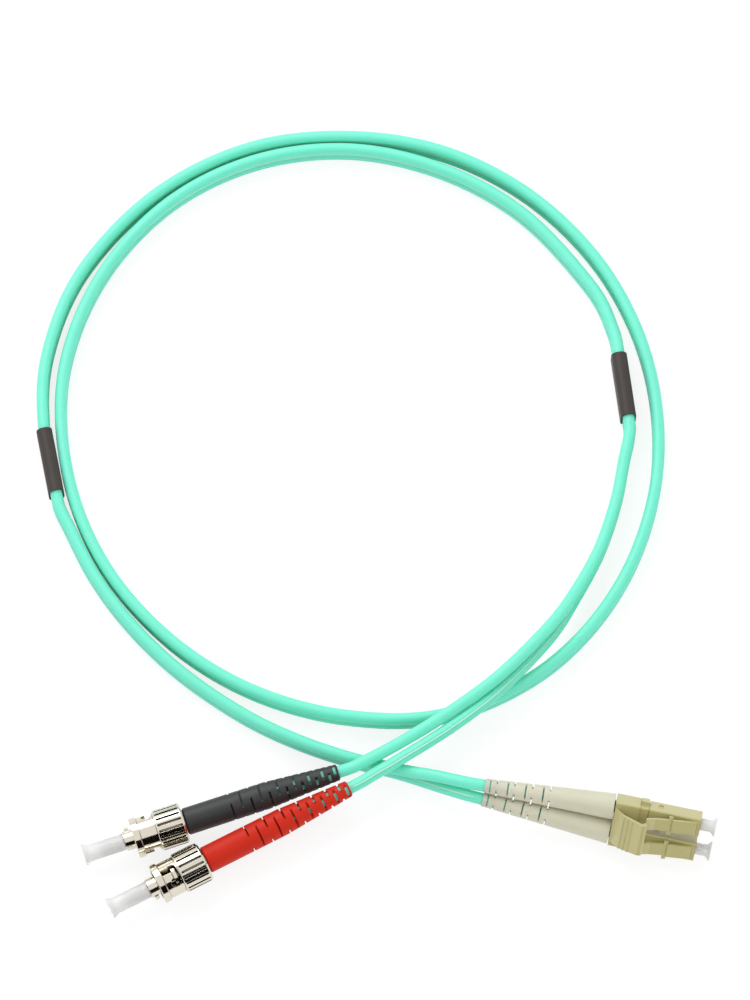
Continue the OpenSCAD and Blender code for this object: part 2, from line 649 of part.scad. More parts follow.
module st_body(key_turn) color(nickel) difference() {
    union() {
        translate([0, 0, st_shoulder_rear]) cylinder(d = st_barrel_d, h = st_barrel_out - st_shoulder_rear);
        translate([0, 0, st_shoulder_rear]) cylinder(d = st_shoulder_d, h = st_shoulder_l);
        translate([0, 0, st_tube_rear]) cylinder(d = st_tube_d, h = st_shoulder_rear - st_tube_rear);
        translate([0, 0, st_spigot_rear]) cylinder(d = st_spigot_d, h = st_spigot_l + past);
        rotate([0, 0, key_turn]) translate([0, -st_key_w / 2, st_barrel_out - st_key_setback - st_key_l])
            cube([st_barrel_d / 2 + st_key_h, st_key_w, st_key_l]);
    }
    translate([0, 0, st_ferrule_rear]) cylinder(d = st_ferrule_d + 2 * press_play, h = st_ferrule_in + past);
    translate([0, 0, st_spigot_rear - past]) cylinder(d = fibre_bore_d, h = st_spigot_l + st_nut_l + past);
    translate([0, 0, st_clip_front - st_clip_t - slide_play]) tube(st_tube_d + past,
        st_tube_d - 2 * st_groove_depth, st_clip_t + 2 * slide_play);
}

// Outline of the nut's outside, from its rear face forward
module st_nut_outline() {
    knurl_front = st_knurl_l - st_nut_l;
    polygon([
        [0, -st_nut_l], [st_knurl_d / 2 - st_knurl_chamfer, -st_nut_l],
        [st_knurl_d / 2, st_knurl_chamfer - st_nut_l], [st_knurl_d / 2, knurl_front - st_rim_chamfer],
        [st_knurl_d / 2 - st_rim_chamfer, knurl_front], [st_nut_d / 2, knurl_front],
        [st_nut_d / 2, -st_flange_l], [st_flange_d / 2 - st_rim_chamfer, -st_flange_l],
        [st_flange_d / 2, st_rim_chamfer - st_flange_l], [st_flange_d / 2, -st_rim_chamfer],
        [st_flange_d / 2 - st_rim_chamfer, 0], [0, 0]
    ]);
}

// Helical slot with its round seat by the knurl, the way forward to the flange, and the groove inside it
module bayonet_slot() {
    seat = st_knurl_l - st_nut_l + st_seat_front;
    start = seat - st_slot_drop;
    entry = start + st_slot_rise;
    middle = (st_bore_d + st_nut_d) / 4;
    reach = st_nut_d - st_bore_d;
    turned = [for (i = [0:st_slot_rings]) i / st_slot_rings];
    sweep([for (u = turned) [middle * cos(u * st_slot_turn), middle * sin(u * st_slot_turn), start + u * st_slot_rise]],
        [[-reach, -st_slot_w / 2], [reach, -st_slot_w / 2], [reach, st_slot_w / 2], [-reach, st_slot_w / 2]]);
    translate([0, 0, seat]) rotate([0, 90, 0]) cylinder(d = st_seat_d, h = st_nut_d);
    rotate([0, 0, st_slot_turn]) translate([0, 0, entry]) {
        rotate([0, 90, 0]) cylinder(d = st_slot_w, h = st_nut_d);
        translate([0, -st_slot_w / 2, 0]) cube([st_nut_d, st_slot_w, -st_flange_l - entry]);
        translate([0, -st_slot_w / 2, 0]) cube([st_bore_d / 2 + st_entry_depth, st_slot_w, st_nut_l]);
    }
}

module st_nut() color(nickel) difference() {
    rotate_extrude() st_nut_outline();
    translate([0, 0, st_lip_front]) cylinder(d = st_bore_d, h = -st_lip_front + past);
    translate([0, 0, -st_nut_l - past]) cylinder(d = st_recess_d, h = st_recess_l + past);
    translate([0, 0, -st_nut_l - past]) cylinder(d = st_tube_d + 2 * slide_play, h = st_nut_l);
    for (side = [0, 180]) rotate([0, 0, side]) bayonet_slot();
    for (i = [1:st_flutes]) rotate([0, 0, i * 360 / st_flutes]) translate([0, 0, st_knurl_l - st_nut_l - st_flute_front])
        radial_slot(st_knurl_l - st_flute_front - st_flute_rear, st_flute_w, st_knurl_d / 2 - st_flute_depth, st_knurl_d);
}

module st_spring() color(steel) translate([0, 0, st_lip_front + slide_play / 2])
    coil_spring(st_spring_d, st_spring_wire, st_spring_l - slide_play, st_spring_turns);

module st_washer() color(steel) translate([0, 0, st_washer_front - st_washer_t])
    tube(st_washer_d, st_tube_d + 2 * slide_play, st_washer_t);

// Open ring that snaps into the groove
module st_clip() color(steel) translate([0, 0, st_clip_front - st_clip_t]) difference() {
    tube(st_clip_d, st_tube_d - 2 * st_groove_depth + 2 * slide_play, st_clip_t);
    translate([0, -st_tube_d / 4, -past]) cube([st_clip_d, st_tube_d / 2, st_clip_t + 2 * past]);
}

module st_crimp() color(steel) translate([0, 0, st_ring_front - st_ring_l])
    tube(st_ring_d, st_spigot_d + 2 * seat_play, st_ring_l);

function st_station(i) = st_boot_plain_l + i * st_boot_step - i * (i - 1) / 2 * st_boot_step_less;
// Radius of the boot at a distance from its front
function st_boot_r(s) = lookup(s, [[0, st_boot_front_d / 2], [st_boot_mid_l, st_boot_mid_d / 2], [st_boot_l, st_boot_tail_d / 2]]);

module st_boot(paint, turn) color(paint) translate([0, 0, st_boot_front]) rotate([0, 0, turn]) difference() {
    rotate_extrude() polygon([
        [0, -st_boot_l], [st_boot_tail_d / 2 - st_tail_chamfer, -st_boot_l],
        [st_boot_tail_d / 2, st_tail_chamfer - st_boot_l], [st_boot_mid_d / 2, -st_boot_mid_l],
        [st_boot_front_d / 2, -st_boot_chamfer], [st_boot_front_d / 2 - st_boot_chamfer, 0], [0, 0]
    ]);
    translate([0, 0, st_ring_front - st_ring_l - end_play - st_boot_front])
        cylinder(d = st_ring_d + 2 * seat_play, h = st_boot_l);
    translate([0, 0, -st_boot_l - past]) cylinder(d = strand_bore_d, h = st_boot_l);
    for (i = [0:st_boot_stations - 1]) translate([0, 0, -st_station(i)]) rotate([0, 0, i * 90])
        slot_pair(st_boot_slot_w + (st_boot_last_slot_w - st_boot_slot_w) * i / (st_boot_stations - 1),
            st_boot_r(st_station(i)));
}

module st_cap() color(milk) difference() {
    cap_outside(st_cap_rear, st_cap_rear + st_cap_l, st_cap_d, st_cap_tip_d, st_cap_flare_l, st_cap_rim);
    translate([0, 0, st_cap_rear - past]) cylinder(d = st_ferrule_d + 2 * slide_play,
        h = st_ferrule_out + st_cap_air + past);
}

module st_fibre() color(milk) translate([0, 0, st_spigot_rear])
    cylinder(d = fibre_d, h = st_ferrule_rear + st_fibre_in - end_play - st_spigot_rear);

// ---- LC plug ----

module lc_ferrule() color(ceramic) translate([0, 0, lc_ferrule_rear]) rotate_extrude() polygon([
    [0, 0], [lc_ferrule_d / 2, 0], [lc_ferrule_d / 2, lc_ferrule_front - lc_ferrule_rear - lc_tip_l],
    [lc_ferrule_d / 2 - lc_tip_l * tip_slope, lc_ferrule_front - lc_ferrule_rear],
    [0, lc_ferrule_front - lc_ferrule_rear]
]);

module lc_holder() color(steel) difference() {
    union() {
        translate([0, 0, lc_holder_rear]) cylinder(d = lc_holder_d, h = lc_holder_l);
        translate([0, 0, lc_holder_rear - lc_stem_l]) cylinder(d = lc_stem_d, h = lc_stem_l + past);
    }
    translate([0, 0, lc_ferrule_rear]) cylinder(d = lc_ferrule_d + 2 * press_play, h = lc_holder_l);
    translate([0, 0, lc_holder_rear - lc_stem_l - past])
        cylinder(d = fibre_d + 2 * slide_play, h = lc_stem_l + past + lc_ferrule_rear - lc_holder_rear - lc_bore_end);
}

module lc_spring() color(steel) translate([0, 0, lc_pocket_floor + slide_play / 2])
    coil_spring(lc_spring_d, lc_spring_wire, lc_holder_rear - lc_pocket_floor - slide_play, lc_spring_turns);

module lc_housing() color(beige) difference() {
    union() {
        translate([0, 0, lc_band_front]) bar(lc_body_w, lc_body_w, lc_corner_r, lc_front_l);
        translate([-lc_plate_w / 2, lc_body_w / 2 - past, lc_bend_z])
            cube([lc_plate_w, past + lc_bend_r, lc_latch_setback - lc_step_setback + lc_bend_r]);
    }
    translate([0, 0, lc_stop_front]) cylinder(d = lc_nose_d, h = lc_nose_depth + past);
    translate([0, 0, lc_band_front]) cylinder(d = lc_ferrule_d + 2 * slide_play, h = lc_face);
    translate([0, 0, lc_band_front]) cylinder(d = lc_chamber_d, h = lc_stop_rear - lc_band_front);
    translate([0, 0, lc_band_front - past])
        bar(lc_rear_w + 2 * seat_play, lc_rear_w + 2 * seat_play, lc_corner_r / 2, lc_rear_in + past + seat_play);
    translate([-lc_body_w, -lc_catch_w / 2 - seat_play, lc_face - lc_catch_setback - lc_catch_l - seat_play])
        cube([2 * lc_body_w, lc_catch_w + 2 * seat_play, lc_catch_l + 2 * seat_play]);
    translate([-lc_body_w, lc_bend_y, lc_bend_z]) rotate([0, 90, 0])
        cylinder(r = lc_bend_r + slide_play, h = 2 * lc_body_w);
}

module lc_rear() color(beige) difference() {
    union() {
        translate([0, 0, end_play]) bar(lc_rear_w, lc_rear_w, lc_corner_r / 2, lc_rear_front - end_play);
        translate([0, 0, lc_spigot_rear]) cylinder(d = lc_spigot_d, h = lc_spigot_l + past);
        translate([-lc_rear_w / 2 - lc_catch_h, -lc_catch_w / 2, lc_face - lc_catch_setback - lc_catch_l])
            cube([lc_rear_w + 2 * lc_catch_h, lc_catch_w, lc_catch_l]);
    }
    translate([0, 0, lc_pocket_floor]) cylinder(d = lc_pocket_d, h = lc_pocket_depth + lc_float + past);
    translate([0, 0, lc_spigot_rear - past]) cylinder(d = fibre_bore_d, h = lc_face);
}

module lc_crimp() color(steel) translate([0, 0, lc_spigot_rear + seat_play])
    tube(lc_crimp_d, lc_spigot_d + 2 * seat_play, lc_spigot_l - end_play - seat_play);

// Side view as [forward, outward] points, drawn out over the width w
module side_profile(w, points) translate([w / 2, 0, 0]) rotate([0, -90, 0]) linear_extrude(w) polygon(points);

// The latch's side view, from the middle of its bend: lengths run back, heights run out
lc_plate_top = [-lc_plate_l * cos(lc_plate_slope), lc_bend_r + lc_plate_l * sin(lc_plate_slope)];
lc_tail_root = lc_plate_top - [0, lc_tail_drop];
lc_tail_end = lc_tail_root + (lc_shoulder_l + lc_tail_l) * [-1, tan(lc_tail_slope)];
lc_flick_end = lc_tail_end + [-lc_flick_l, lc_flick_rise];
// How far the tail and its shoulders reach forward under the plate
lc_tail_overlap = [0.6, 0.05];
lc_shoulder_t = lc_latch_t / 2;

module lc_latch() color(beige) translate([0, lc_bend_y, lc_bend_z]) {
    translate([-lc_plate_w / 2, 0, 0]) rotate([0, 90, 0]) cylinder(r = lc_bend_r, h = lc_plate_w);
    side_profile(lc_plate_w, [[0, -lc_bend_r], [0, lc_bend_r], lc_plate_top, lc_plate_top - [0, lc_latch_t]]);
    side_profile(lc_tail_w, [
        lc_tail_root + [lc_tail_overlap[0], 0], lc_tail_root, lc_tail_end, lc_flick_end,
        lc_flick_end - [0, lc_latch_t], lc_tail_end - [0, lc_latch_t],
        lc_tail_root - [0, lc_latch_t], lc_tail_root + [lc_tail_overlap[0], -lc_shoulder_t]
    ]);
    side_profile(lc_shoulder_w, [
        lc_tail_root + [lc_tail_overlap[1], 0], lc_tail_root + lc_shoulder_l * [-1, tan(lc_tail_slope)],
        lc_tail_root - [lc_shoulder_l, lc_shoulder_t], lc_tail_root + [lc_tail_overlap[1], -lc_shoulder_t]
    ]);
}

// Rise of the trigger's top, from 0 to 1, along its length from 0 at its root to 1 at its front
trigger_curve = [[0, 0], [0.12, 0.31], [0.26, 0.54], [0.54, 0.77], [0.85, 1], [0.95, 0.98], [1, 0.88]];
function trigger_top(u) = [u * trigger_l, lc_bend_r + trigger_rise * lookup(u, trigger_curve)];
trigger_nose = trigger_top(1) - [0, trigger_nose_h];
trigger_ridges = [for (i = [0:2]) (trigger_ridge_start + i * trigger_ridge_step) / trigger_l];
// The ridges are round bars sunk this far into the top
trigger_ridge_sunk = 0.1;
// How far the lowest part of the nose lies behind the front face, and under its lower edge
trigger_lip = [0.4, 0.1];

module duplex_trigger() color(beige) translate([0, trigger_bend_y, trigger_bend_z]) {
    translate([-trigger_rear_w / 2, 0, 0]) rotate([0, 90, 0]) cylinder(r = lc_bend_r, h = trigger_rear_w);
    intersection() {
        union() {
            side_profile(trigger_rear_w, concat(
                [for (q = trigger_curve) trigger_top(q[0])], [trigger_nose, trigger_nose - trigger_lip],
                [for (i = [4:-1:1]) trigger_top(trigger_curve[i][0]) - [0, trigger_t]], [[0, -lc_bend_r / 2]]));
            for (u = trigger_ridges) translate([-trigger_rear_w / 2, trigger_top(u)[1] - trigger_ridge_sunk, trigger_top(u)[0]])
                rotate([0, 90, 0]) cylinder(r = trigger_ridge_h + trigger_ridge_sunk, h = trigger_rear_w);
        }
        translate([0, trigger_top(1)[1] + trigger_rise, 0]) rotate([90, 0, 0]) linear_extrude(3 * trigger_rise)
            polygon([[-trigger_rear_w / 2, -1], [trigger_rear_w / 2, -1],
                [trigger_front_w / 2, trigger_l], [-trigger_front_w / 2, trigger_l]]);
    }
}

// Block behind, and a collar round each plug in front of it, with a lug on its outer side
module duplex_clip() color(beige) difference() {
    union() {
        translate([0, lc_clip_rise / 2, 0]) bar(lc_clip_w, lc_band_w + lc_clip_rise, lc_corner_r, lc_clip_l);
        for (side = [-1, 1]) at_side(side) {
            bar(lc_band_w, lc_band_w, lc_corner_r, lc_band_front - end_play);
            rotate([0, 0, side > 0 ? 0 : 180])
                translate([lc_band_w / 2 - past, -lc_lug_l / 2, lc_clip_l + (lc_band_l - end_play - lc_lug_l) / 2])
                    cube([past + lc_lug_h, lc_lug_l, lc_lug_l]);
        }
    }
    for (side = [-1, 1]) at_side(side) translate([0, 0, -past])
        bar(lc_rear_w + 2 * seat_play, lc_rear_w + 2 * seat_play, lc_corner_r / 2, lc_band_front + 2 * past);
    translate([-trigger_rear_w / 2 - slide_play, lc_band_w / 2, -past])
        cube([trigger_rear_w + 2 * slide_play, lc_band_w, past + trigger_bend_z + lc_bend_r + slide_play]);
}

// Radius of the boot at a distance from its tail
function lc_boot_r(s) = (lc_boot_tail_d + (lc_boot_front_d - lc_boot_tail_d) * s / lc_boot_l) / 2;

// The boot leans towards its neighbour, while the crimp tube's bore stays on the plug's axis
module lc_boot(side) color(ivory) difference() {
    translate([0, 0, -end_play]) rotate([0, side * lc_boot_toe, 0]) difference() {
        rotate_extrude() polygon([
            [0, -lc_boot_l], [lc_boot_tail_d / 2 - lc_tail_chamfer, -lc_boot_l],
            [lc_boot_tail_d / 2, lc_tail_chamfer - lc_boot_l], [lc_boot_front_d / 2, -lc_boot_chamfer - end_play],
            [lc_boot_front_d / 2 - lc_boot_chamfer, -end_play], [0, -end_play]
        ]);
        translate([0, 0, -lc_boot_l - past]) cylinder(d = strand_bore_d, h = lc_boot_l);
        for (i = [0:lc_boot_stations - 1]) for (k = [0, 1]) let(s = lc_boot_first + i * lc_boot_step + k * lc_boot_offset)
            translate([0, 0, s - lc_boot_l]) rotate([0, 0, lc_boot_turn + k * 90]) slot_pair(lc_boot_slot_w, lc_boot_r(s));
    }
    translate([0, 0, lc_spigot_rear - end_play]) cylinder(d = lc_crimp_d + 2 * seat_play, h = lc_spigot_l + 2 * past);
}

module lc_cap() color(milk) difference() {
    cap_outside(lc_cap_rear, lc_face + lc_cap_out, lc_cap_d, lc_cap_tip_d, lc_cap_flare_l, lc_cap_rim);
    translate([0, 0, lc_cap_rear - past]) cylinder(d = lc_ferrule_d + 2 * slide_play,
        h = lc_ferrule_front + lc_cap_air - lc_cap_rear + past);
}

module lc_fibre() color(milk) translate([0, 0, lc_spigot_rear])
    cylinder(d = fibre_d, h = lc_fibre_front - lc_spigot_rear);

// ---- Cord and sleeves ----

module cord_run(path, outline) color(aqua) translate(coil_at) sweep(path, outline);

module sleeve(at, heading) color(umber) translate(coil_at + lift(at, sleeve_mid)) rotate([0, 90, heading])
    translate([0, 0, -sleeve_l / 2]) linear_extrude(sleeve_l) difference() {
        stadium(sleeve_bore_r + sleeve_wall);
        stadium(sleeve_bore_r);
    }

// Two circles one above the other with their sides joined, up being -X here
module stadium(r) {
    for (side = [-1, 1]) translate([side * cord_d / 2, 0]) circle(r);
    square([cord_d, 2 * r], center = true);
}

// ---- Nodes ----

cord_run(zip_path, zip_outline);  // zip_cord
sleeve(sleeve_st_at, sleeve_st_heading);  // sleeve_st
sleeve(sleeve_lc_at, sleeve_lc_heading);  // sleeve_lc
cord_run(black_path, strand_outline);  // st_leg_black
cord_run(red_path, strand_outline);  // st_leg_red
cord_run(far_path, strand_outline);  // lc_leg_far
cord_run(near_path, strand_outline);  // lc_leg_near

for (plug = [["black", st_black_at, st_black_heading], ["red", st_red_at, st_red_heading]]) {
    name = plug[0];
    key_turn = name == "black" ? st_key_turn_black : st_key_turn_red;
    nut_turn = name == "black" ? st_nut_turn_black : st_nut_turn_red;
    boot_turn = name == "black" ? st_boot_turn_black : st_boot_turn_red;
    paint = name == "black" ? soot : signal_red;
    place_st(plug[1], plug[2]) {
        st_ferrule();
        st_body(key_turn);
        rotate([0, 0, nut_turn]) st_nut();
        st_spring();
        st_washer();
        st_clip();
        st_crimp();
        st_boot(paint, boot_turn);
        st_cap();
        st_fibre();
    }
}

for (plug = [["far", 1], ["near", -1]]) place_lc() at_side(plug[1]) {
    lc_ferrule();
    lc_holder();
    lc_spring();
    lc_housing();
    lc_latch();
    lc_rear();
    lc_crimp();
    lc_boot(plug[1]);
    lc_cap();
    lc_fibre();
}

place_lc() duplex_clip();
place_lc() duplex_trigger();
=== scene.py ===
import json
import math
import bpy
import numpy as np
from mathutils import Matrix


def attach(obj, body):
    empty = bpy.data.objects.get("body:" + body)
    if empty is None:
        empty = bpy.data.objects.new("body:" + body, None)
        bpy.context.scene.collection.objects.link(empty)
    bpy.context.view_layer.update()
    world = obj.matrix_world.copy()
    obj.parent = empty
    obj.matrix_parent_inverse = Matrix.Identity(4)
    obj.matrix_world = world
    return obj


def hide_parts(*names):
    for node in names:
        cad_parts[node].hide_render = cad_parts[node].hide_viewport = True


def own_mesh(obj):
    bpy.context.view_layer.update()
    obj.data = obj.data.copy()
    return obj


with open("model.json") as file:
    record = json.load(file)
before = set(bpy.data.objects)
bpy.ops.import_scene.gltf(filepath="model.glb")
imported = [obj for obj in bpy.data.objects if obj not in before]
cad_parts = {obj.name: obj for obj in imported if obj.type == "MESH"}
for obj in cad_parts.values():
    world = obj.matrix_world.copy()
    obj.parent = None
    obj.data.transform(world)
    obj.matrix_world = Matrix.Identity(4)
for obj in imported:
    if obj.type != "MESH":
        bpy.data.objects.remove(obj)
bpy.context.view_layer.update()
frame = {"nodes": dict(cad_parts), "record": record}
nodes = frame["nodes"]
scene = bpy.context.scene
mm = 0.001

# camera: looks down on the coil, square to its width
cameraSettings = {
    "position": (-5.4, -355.9, 1092.2),  # mm
    "elevation": 68.0,                   # degrees above the table
    "focalLength": 181.8,                # mm
    "sensorWidth": 36.0,                 # mm
    "nearest": 0.1, "farthest": 20.0,    # metres between which it sees
}


def addCamera(settings):
    data = bpy.data.cameras.new("camera")
    data.lens = settings["focalLength"]
    data.sensor_width = settings["sensorWidth"]
    data.clip_start = settings["nearest"]
    data.clip_end = settings["farthest"]
    camera = bpy.data.objects.new("camera", data)
    camera.location = [c * mm for c in settings["position"]]
    camera.rotation_euler = (math.radians(90.0 - settings["elevation"]), 0.0, 0.0)
    scene.collection.objects.link(camera)
    scene.camera = camera


addCamera(cameraSettings)
print("camera is up")

# cord route: the same points as the solids follow, in mm from the coil's centre
cordSettings = {
    "diameter": 2.8,
    "coilCentre": (-10.9, 102.4, 0.0),
    "zipMiddle": 2.8,         # height of the middle of the two strands
    "sleeveMiddle": 3.2454,   # the same inside the sleeves
    "sleeveLength": 16.0,
    "stSleeve": (63.8, 10.0, 97.0),      # x, y, heading
    "lcSleeve": (-70.2, -9.2, -78.5),
    "stepsBetween": 10,       # rings from one route point to the next
    "ringSpacing": 1.6,       # mm between the rings of a finished strand
    "sides": 28,
}
zipPoints = [
    (61.5, 25), (56.5, 36), (41, 54.5), (21.5, 66.5), (-1, 71.8), (-24, 68.5), (-44.5, 56.8),
    (-60, 37.2), (-67.7, 13), (-66, -12.4), (-57, -35), (-41.8, -53.1), (-22.7, -65.6),
    (-0.7, -71.9), (22.5, -71.2), (45.5, -59.6), (62.3, -39.4), (71, -13.7), (70.2, 13.6),
    (60.8, 38.4), (44.2, 58.1), (22.8, 70.8), (-1, 75.1), (-25, 71.9), (-47.1, 59.5),
    (-64, 39.5), (-71.6, 18),
]
blackPoints = [
    (63.6, -8.5, 4.4), (61.5, -19, 4.4), (57.5, -31, 4.8), (52, -41.8, 6.3), (45.5, -51.6, 8.3),
    (34, -63.9, 9.5), (22.5, -72.4, 8.2), (11.2, -79.5, 7.5), (2.3, -84.4, 7.3),
]
redPoints = [
    (63.6, -8.5, 1.5), (61.5, -19, 1.4), (57.5, -31, 1.6), (52, -42.2, 3), (45.7, -53.2, 5.3),
    (34, -66.7, 7.4), (23, -75.6, 7.3), (11.2, -83.4, 7.3), (5.4, -87, 7.3),
]
farPoints = [
    (-65.4, -25.5, 4.4), (-59.7, -36.9, 4.3), (-52.6, -47.2, 4.3), (-44.3, -56.4, 4.3),
    (-35, -64.4, 4.3), (-23.1, -72.4, 4.3), (-11.6, -78, 4.3), (0, -82.1, 4.3),
    (11.2, -85, 4.5), (19.5, -87.3, 6.8),
]
nearPoints = [
    (-65.4, -25.5, 1.5), (-59.7, -36.9, 1.4), (-52.6, -47.2, 1.4), (-44.3, -56.4, 1.4),
    (-35, -64.4, 1.4), (-23.1, -72.4, 1.4), (-11.6, -78, 1.4), (0, -82.1, 1.4),
    (11.2, -85, 1.4), (19.5, -88.6, 3.8),
]
# where each strand meets its plug and how it runs out of the boot, in mm from the coil's centre
# and in degrees
plugEnds = {
    "black": {"at": (-49.0, -101.5, 4.644), "heading": 198.0, "droop": 3.0, "start": 18.7, "out": 51.4},
    "red": {"at": (-43.6, -112.4, 4.644), "heading": 207.0, "droop": 3.0, "start": 18.7, "out": 51.4},
}
pairEnd = {
    "at": (59.3, -97.2, 0.0), "heading": -11.5, "droop": 2.0, "lean": 46.0, "face": 19.6,
    "pitch": 6.25, "tailPitch": 3.45, "bootLength": 29.7, "bootGap": 0.1, "start": 5.9,
    "bodyWidth": 4.5, "corner": 0.4,
}


def plugForward(heading, droop):
    # the way a plug points: its heading on the table, tipped down by its droop
    h, d = math.radians(heading), math.radians(droop)
    return np.array([math.cos(h) * math.cos(d), math.sin(h) * math.cos(d), -math.sin(d)])


def stEnd(end):
    # where the strand leaves the boot and where it starts inside it, both back along the plug's line
    forward = plugForward(end["heading"], end["droop"])
    return [np.array(end["at"]) - end[k] * forward for k in ("out", "start")]


def lcPlace(end, side):
    # the pair lies on one corner of its nose, so its height follows from its lean and its droop
    forward = plugForward(end["heading"], end["droop"])
    h, lean = math.radians(end["heading"]), math.radians(end["lean"])
    left = np.array([-math.sin(h), math.cos(h), 0.0])
    across = math.cos(lean) * left + math.sin(lean) * np.cross(forward, left)
    half = end["bodyWidth"] / 2 - end["corner"]
    height = ((end["pitch"] / 2 + half) * math.sin(lean) + half * math.cos(lean) + end["corner"]
              + end["face"] * math.sin(math.radians(end["droop"])))
    return np.array(end["at"]) + [0, 0, height] + side * end["pitch"] / 2 * across, forward, across


def lcEnd(end, side):
    # the same for a boot of the pair, which toes in from the pitch to the tail pitch over its length
    middle, forward, across = lcPlace(end, side)
    toe = math.atan((end["pitch"] - end["tailPitch"]) / 2 / end["bootLength"])
    front = middle - end["bootGap"] * forward
    back = math.cos(toe) * forward + side * math.sin(toe) * across
    out = end["bootLength"] + cordSettings["diameter"]
    return [front - along * back for along in (out, end["start"])]


def sleevePoint(sleeve, along, height):
    x, y, heading = sleeve
    h = math.radians(heading)
    return np.array([x + along * math.cos(h), y + along * math.sin(h), height])


def smoothThrough(points, steps):
    # uniform Catmull-Rom: each stretch is a cubic that leaves its points along the line between
    # their neighbours; the first and last points only steer
    p = np.array(points, float)
    t = np.linspace(0, 1, steps, endpoint=False)[None, :, None]
    a, b, c, d = (p[i:len(p) - 3 + i, None, :] for i in range(4))
    q = 0.5 * (2 * b + (c - a) * t + (2 * a - 5 * b + 4 * c - d) * t ** 2
               + (3 * b - a - 3 * c + d) * t ** 3)
    return np.vstack([q.reshape(-1, 3), p[-2]])


def straightOn(a, b, c):
    # the point beyond b, seen from c, as far as a stretch from a lies from b
    away = (b - a) / np.linalg.norm(b - a)
    return b - away * np.linalg.norm(c - b)


def strandRoute(side, stPoints, lcPoints, stPlug, lcPlug):
    # three smooth runs joined by the sleeves' middles, each kept off the table and off the strand below
    s = cordSettings
    half = side * s["diameter"] / 2
    high = s["sleeveMiddle"] + half
    run = s["sleeveLength"] / 2
    tail = run + s["diameter"]
    stLeg = ([sleevePoint(s["stSleeve"], -tail, high)] + [np.array(p, float) for p in stPoints]
             + [stPlug[0]])
    zipRun = ([sleevePoint(s["stSleeve"], run, high)]
              + [np.array([x, y, s["zipMiddle"] + half]) for x, y in zipPoints]
              + [sleevePoint(s["lcSleeve"], -run, high)])
    lcLeg = ([sleevePoint(s["lcSleeve"], tail, high)] + [np.array(p, float) for p in lcPoints]
             + [lcPlug[0]])
    stMiddle = sleevePoint(s["stSleeve"], 0, high)
    lcMiddle = sleevePoint(s["lcSleeve"], 0, high)
    runs = []
    for points, before, after in ((stLeg[::-1], stPlug[1], stMiddle), (zipRun, stMiddle, lcMiddle),
                                  (lcLeg, lcMiddle, lcPlug[1])):
        eased = ([straightOn(before, points[0], points[1])] + points
                 + [straightOn(after, points[-1], points[-2])])
        runs.append(smoothThrough(eased, s["stepsBetween"]))
    path = np.vstack([stPlug[1][None], runs[0], stMiddle[None], runs[1], lcMiddle[None], runs[2],
                      lcPlug[1][None]])
    onTable = s["diameter"] / 2
    path[:, 2] = np.maximum(path[:, 2], onTable)
    inZip = slice(1 + len(runs[0]), 3 + len(runs[0]) + len(runs[1]))
    path[inZip, 2] = np.maximum(path[inZip, 2], onTable if side < 0 else 3 * onTable)
    return (path + np.array(s["coilCentre"])) * mm


def alongPath(path):
    # the length run so far at each point: the sum of the stretches before it
    return np.concatenate([[0.0], np.cumsum(np.linalg.norm(np.diff(path, axis=0), axis=1))])


def evenly(path, spacing):
    # the same line again with its points one spacing apart
    s = alongPath(path)
    t = np.linspace(0, s[-1], max(2, int(round(s[-1] / spacing)) + 1))
    return np.stack([np.interp(t, s, path[:, k]) for k in range(3)], axis=1)


def tubeAround(path, outline):
    # each ring lies across the path: its first direction is level, its second is square to both
    ahead = np.gradient(path, axis=0)
    ahead /= np.linalg.norm(ahead, axis=1)[:, None]
    side = np.cross([0.0, 0.0, 1.0], ahead)
    side /= np.linalg.norm(side, axis=1)[:, None]
    up = np.cross(ahead, side)
    return path[:, None] + outline[None, :, :1] * side[:, None] + outline[None, :, 1:] * up[:, None]


def gridMesh(name, grid):
    # grid[i, j] becomes quads: i runs along, j round the ring, and each end is closed by one face
    rows, columns = grid.shape[:2]
    here = np.arange(rows - 1)[:, None] * columns
    ahead = here + columns
    j = np.arange(columns)[None, :]
    after = (j + 1) % columns
    quads = np.stack([here + j, here + after, ahead + after, ahead + j], axis=-1).reshape(-1, 4)
    faces = quads.tolist()
    faces.append(list(range(columns))[::-1])
    faces.append([(rows - 1) * columns + k for k in range(columns)])
    mesh = bpy.data.meshes.new(name)
    mesh.from_pydata(grid.reshape(-1, 3).tolist(), [], faces)
    mesh.polygons.foreach_set("use_smooth", [len(f) == 4 for f in faces])
    mesh.update()
    piece = bpy.data.objects.new(name, mesh)
    scene.collection.objects.link(piece)
    return piece


def ringMap(piece, lengths, columns):
    # u is the way round in turns, v the way along in metres, for finishes that follow the cord
    uv = piece.data.uv_layers.new(name="along")
    index = np.empty(len(piece.data.loops), int)
    piece.data.loops.foreach_get("vertex_index", index)
    u = (index % columns) / columns
    v = lengths[index // columns]
    uv.data.foreach_set("uv", np.stack([u, v], axis=1).ravel())


def circleOutline(radius, sides):
    # x and y are cosine and sine of the way round
    a = np.arange(sides) * 2 * np.pi / sides
    return np.stack([radius * np.cos(a), radius * np.sin(a)], axis=1)


def addStrand(name, side, stPoints, lcPoints, stPlug, lcPlug, replaced):
    s = cordSettings
    path = evenly(strandRoute(side, stPoints, lcPoints, stPlug, lcPlug), s["ringSpacing"] * mm)
    piece = gridMesh(name, tubeAround(path, circleOutline(s["diameter"] / 2 * mm, s["sides"])))
    ringMap(piece, alongPath(path), s["sides"])
    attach(piece, "cord_and_plugs")
    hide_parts(*replaced)
    return piece, path


